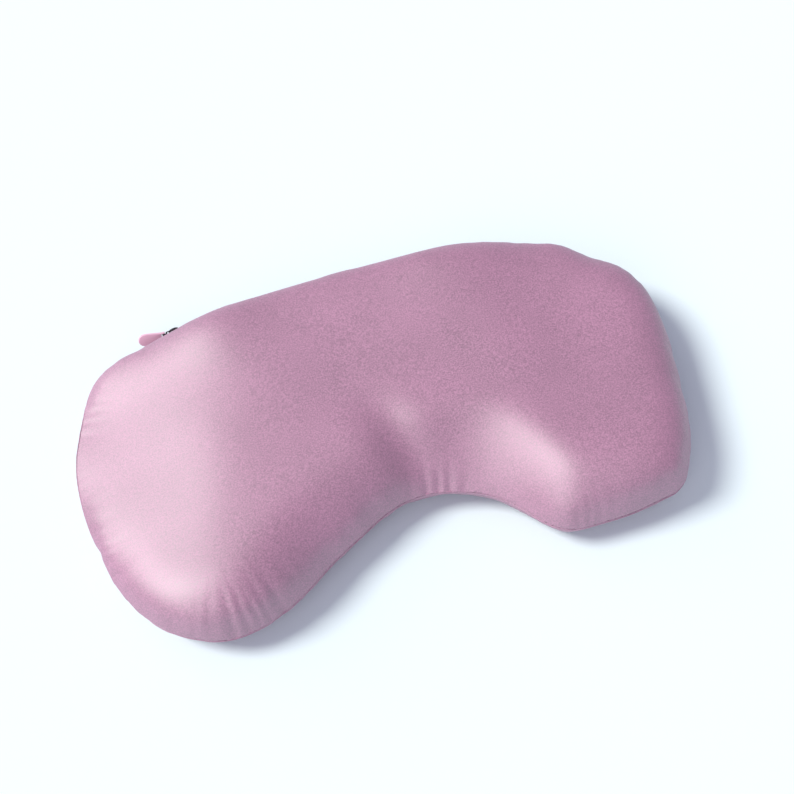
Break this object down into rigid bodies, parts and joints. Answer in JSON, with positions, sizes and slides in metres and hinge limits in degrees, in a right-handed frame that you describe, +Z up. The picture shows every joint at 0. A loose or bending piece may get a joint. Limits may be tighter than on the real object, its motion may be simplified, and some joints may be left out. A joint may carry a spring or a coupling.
{
  "type": "eye pillow",
  "caption": "Kidney-shaped satin eye pillow with a nose notch, a zipped cover with a teardrop pull, and a seed-filled cotton insert.",
  "frame": {"origin": "on the surface the pillow lies on, under the middle of its outline", "axes": "+X along the pillow, +Y towards the zipped brow edge, -Y towards the nose notch, +Z up"},
  "size_m": [0.23, 0.1319, 0.03],
  "materials": {
    "satin": "dusty pink satin, softly glossy",
    "thread": "matching pink polyester sewing thread",
    "cotton": "plain unbleached cotton",
    "cotton_thread": "plain white sewing thread",
    "seeds": "glossy brown flax seeds",
    "zip_tape": "pink woven zip tape",
    "zip_nylon": "pink nylon coil",
    "zip_metal": "dark metal",
    "pull_enamel": "light pink enamel"
  },
  "bodies": {
    "pillow": {"cover_top_panel": "satin", "cover_bottom_panel": "satin", "cover_seam_thread": "thread", "insert_top_panel": "cotton", "insert_bottom_panel": "cotton", "insert_seam_thread": "cotton_thread", "insert_closing_thread": "cotton_thread", "seed_fill": "seeds", "zip_tape_upper": "zip_tape", "zip_tape_lower": "zip_tape", "zip_coil_upper": "zip_nylon", "zip_coil_lower": "zip_nylon", "zip_stitching_upper": "thread", "zip_stitching_lower": "thread", "zip_top_stop_upper": "zip_nylon", "zip_top_stop_lower": "zip_nylon", "zip_bottom_stop": "zip_nylon"},
    "slider": {"slider_body": "zip_metal", "slider_bridge": "zip_metal"},
    "pull": {"pull_eye": "zip_metal", "pull_tab": "pull_enamel"}
  },
  "joints": [
    {"name": "slider_travel", "type": "hinge", "parent": "pillow", "child": "slider", "pos_m": [0, -0.314, 0.012], "axis": [0, 0, -1], "range_deg": [0, 15.2]},
    {"name": "pull_swing", "type": "hinge", "parent": "slider", "child": "pull", "pos_m": [-0.06637, 0.06239, 0.012], "axis": [0, 0, -1], "range_deg": [-8, 168]}
  ]
}
